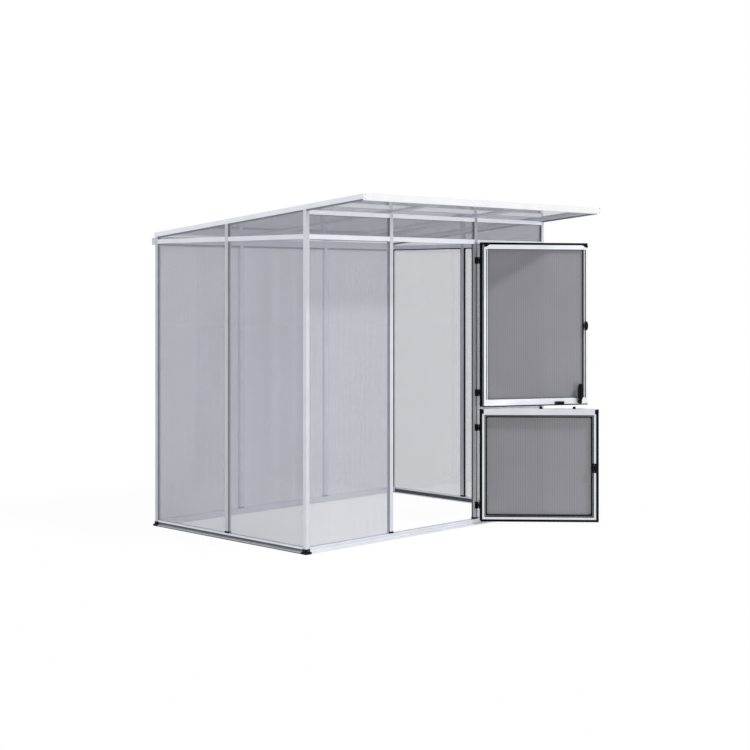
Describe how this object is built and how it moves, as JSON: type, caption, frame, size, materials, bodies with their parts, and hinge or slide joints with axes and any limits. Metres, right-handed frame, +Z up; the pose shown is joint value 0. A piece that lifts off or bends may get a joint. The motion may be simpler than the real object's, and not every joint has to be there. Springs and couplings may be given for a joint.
{
  "type": "pent roof greenhouse with a stable door",
  "caption": "Free-standing greenhouse with an aluminium section frame, twin-wall panels, a pent roof with a deep front overhang and an outward-opening two-leaf stable door.",
  "frame": {"origin": "middle of the front base section's underside, below the front posts' outer face", "axes": "+X along the front wall to the right as seen from outside, +Y to the back wall, +Z up"},
  "size_m": [2.391, 2.2615, 2.2297],
  "materials": {
    "silver_frame": "matt mill-finish silver",
    "clear_sheet": "clear twin-wall sheet",
    "smoke_sheet": "smoke twin-wall sheet with fine ribs",
    "black_plastic": "moulded black plastic",
    "black_rubber": "black rubber seal"
  },
  "bodies": {
    "frame": {"base_front": "silver_frame", "base_left": "silver_frame", "base_right": "silver_frame", "base_back": "silver_frame", "base_corners": "black_plastic", "post_feet": "black_plastic", "post_front_left": "silver_frame", "post_front_right": "silver_frame", "post_back_left": "silver_frame", "post_back_right": "silver_frame", "latch_post": "silver_frame", "hinge_post": "silver_frame", "side_mullions": "silver_frame", "back_mullions": "silver_frame", "front_rail": "silver_frame", "left_rail": "silver_frame", "right_rail": "silver_frame", "back_rail": "silver_frame", "front_top_rail": "silver_frame", "eave_rail": "silver_frame", "front_panels": "clear_sheet", "left_panels": "clear_sheet", "right_panels": "clear_sheet", "back_panels": "clear_sheet", "transom_panels": "clear_sheet", "left_gables": "clear_sheet", "right_gables": "clear_sheet", "roof_side_left": "silver_frame", "roof_side_right": "silver_frame", "roof_bars": "silver_frame", "roof_fascia": "silver_frame", "roof_panels": "clear_sheet", "roof_seals": "black_rubber", "gutter": "silver_frame", "hinge_brackets": "black_plastic"},
    "upper_leaf": {"upper_frame": "silver_frame", "upper_panel": "smoke_sheet", "upper_seal": "black_rubber", "upper_hinges": "black_plastic", "upper_catch": "black_plastic", "upper_bolt": "black_plastic"},
    "lower_leaf": {"lower_frame": "silver_frame", "lower_panel": "smoke_sheet", "lower_seal": "black_rubber", "lower_hinges": "black_plastic", "lower_latch": "black_plastic", "ledge": "silver_frame", "keepers": "black_plastic"},
    "lever": {"lever_handle": "black_plastic"}
  },
  "joints": [
    {"name": "upper_leaf_hinge", "type": "hinge", "parent": "frame", "child": "upper_leaf", "pos_m": [0.4255, -0.012, 0], "axis": [0, 0, 1], "range_deg": [-151.5, 15]},
    {"name": "lower_leaf_hinge", "type": "hinge", "parent": "frame", "child": "lower_leaf", "pos_m": [0.4255, -0.012, 0], "axis": [0, 0, 1], "range_deg": [-132.5, 34]},
    {"name": "lever_turn", "type": "hinge", "parent": "upper_leaf", "child": "lever", "pos_m": [1.06574, -0.41197, 0.849], "axis": [0.4772, 0.8788, 0], "range_deg": [0, 90]}
  ]
}
